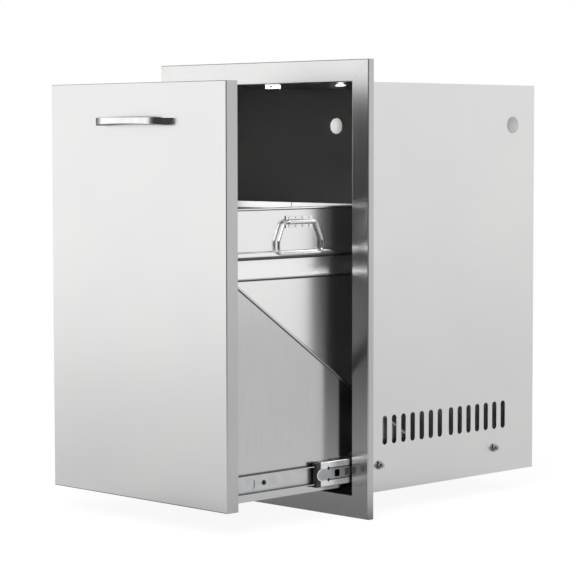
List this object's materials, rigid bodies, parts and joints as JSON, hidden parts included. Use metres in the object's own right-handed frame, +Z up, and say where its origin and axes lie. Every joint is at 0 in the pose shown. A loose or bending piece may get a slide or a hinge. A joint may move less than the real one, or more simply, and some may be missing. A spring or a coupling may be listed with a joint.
{
  "type": "pull-out trash drawer",
  "caption": "Built-in stainless trash drawer: flange-framed slotted cabinet, flush front on ball slides, and a lift-out steel bin with drop bail handles.",
  "frame": {"origin": "on the middle plane, where the back of the flange frame meets the underside of the cabinet box", "axes": "+Y into the cabinet, away from the flange; +Z up; +X to the right as seen from the front"},
  "size_m": [0.435, 0.6761, 0.65],
  "materials": {
    "brushed_stainless": "brushed stainless sheet",
    "satin_stainless": "satin mill-finish stainless sheet",
    "bin_stainless": "bright rolled stainless sheet",
    "polished_steel": "polished stainless",
    "bright_steel": "bright plated steel",
    "zinc_steel": "bright zinc plated steel",
    "dark_steel": "dark steel strip",
    "white_plastic": "moulded white plastic",
    "black_plastic": "moulded black plastic"
  },
  "bodies": {
    "cabinet": {"frame_top_rail": "brushed_stainless", "frame_bottom_rail": "brushed_stainless", "frame_left_stile": "brushed_stainless", "frame_right_stile": "brushed_stainless", "cabinet_left_side": "satin_stainless", "cabinet_right_side": "satin_stainless", "cabinet_top": "satin_stainless", "cabinet_floor": "satin_stainless", "cabinet_back": "satin_stainless", "cabinet_rivets": "bright_steel", "catch_housing": "white_plastic", "catch_magnet": "dark_steel", "catch_screws": "bright_steel", "closing_bumpers": "white_plastic", "hose_plugs": "white_plastic", "left_slide_channel": "zinc_steel", "right_slide_channel": "zinc_steel", "slide_bolts": "bright_steel", "slide_nuts": "bright_steel"},
    "drawer": {"front_skin": "brushed_stainless", "front_liner": "satin_stainless", "pull_bar": "polished_steel", "pull_screws": "bright_steel", "left_side_bracket": "brushed_stainless", "right_side_bracket": "brushed_stainless", "drawer_tray": "satin_stainless", "left_slide_runner": "zinc_steel", "right_slide_runner": "zinc_steel", "runner_screws": "bright_steel", "bracket_screws": "bright_steel", "strike_plate": "zinc_steel"},
    "left_carrier": {"left_slide_carrier": "zinc_steel", "left_slide_bumper": "black_plastic"},
    "right_carrier": {"right_slide_carrier": "zinc_steel", "right_slide_bumper": "black_plastic"},
    "left_outer_balls": {"left_outer_cage": "dark_steel", "left_outer_balls": "bright_steel"},
    "right_outer_balls": {"right_outer_cage": "dark_steel", "right_outer_balls": "bright_steel"},
    "left_inner_balls": {"left_inner_cage": "dark_steel", "left_inner_balls": "bright_steel"},
    "right_inner_balls": {"right_inner_cage": "dark_steel", "right_inner_balls": "bright_steel"},
    "bin": {"bin_tub": "bin_stainless", "bin_collar": "bin_stainless", "left_bail_plate": "polished_steel", "right_bail_plate": "polished_steel", "bail_rivets": "bright_steel"},
    "left_bail": {"left_bail": "polished_steel"},
    "right_bail": {"right_bail": "polished_steel"}
  },
  "joints": [
    {"name": "drawer_slide", "type": "slide", "parent": "cabinet", "child": "drawer", "axis": [0, -1, 0], "range_m": [-0.24175, 0.108]},
    {"name": "left_carrier_slide", "type": "slide", "parent": "cabinet", "child": "left_carrier", "axis": [0, -1, 0], "range_m": [-0.10929, 0.0491]},
    {"name": "left_outer_balls_slide", "type": "slide", "parent": "cabinet", "child": "left_outer_balls", "axis": [0, -1, 0], "range_m": [-0.05489, 0.0248]},
    {"name": "left_inner_balls_slide", "type": "slide", "parent": "cabinet", "child": "left_inner_balls", "axis": [0, -1, 0], "range_m": [-0.17577, 0.0788]},
    {"name": "right_carrier_slide", "type": "slide", "parent": "cabinet", "child": "right_carrier", "axis": [0, -1, 0], "range_m": [-0.10929, 0.0491]},
    {"name": "right_outer_balls_slide", "type": "slide", "parent": "cabinet", "child": "right_outer_balls", "axis": [0, -1, 0], "range_m": [-0.05489, 0.0248]},
    {"name": "right_inner_balls_slide", "type": "slide", "parent": "cabinet", "child": "right_inner_balls", "axis": [0, -1, 0], "range_m": [-0.17577, 0.0788]},
    {"name": "bin_lift", "type": "slide", "parent": "drawer", "child": "bin", "axis": [0, 0, 1], "range_m": [0, 0.14]},
    {"name": "left_bail_hinge", "type": "hinge", "parent": "bin", "child": "left_bail", "pos_m": [-0.1676, -0.095, 0.3925], "axis": [0, 1, 0], "range_deg": [0, 180]},
    {"name": "right_bail_hinge", "type": "hinge", "parent": "bin", "child": "right_bail", "pos_m": [0.1676, -0.095, 0.3925], "axis": [0, -1, 0], "range_deg": [0, 180]}
  ],
  "couplings": [
    {"joint": "left_carrier_slide", "follows": "drawer_slide", "ratio": 0.45},
    {"joint": "left_outer_balls_slide", "follows": "drawer_slide", "ratio": 0.225},
    {"joint": "left_inner_balls_slide", "follows": "drawer_slide", "ratio": 0.725},
    {"joint": "right_carrier_slide", "follows": "drawer_slide", "ratio": 0.45},
    {"joint": "right_outer_balls_slide", "follows": "drawer_slide", "ratio": 0.225},
    {"joint": "right_inner_balls_slide", "follows": "drawer_slide", "ratio": 0.725}
  ]
}
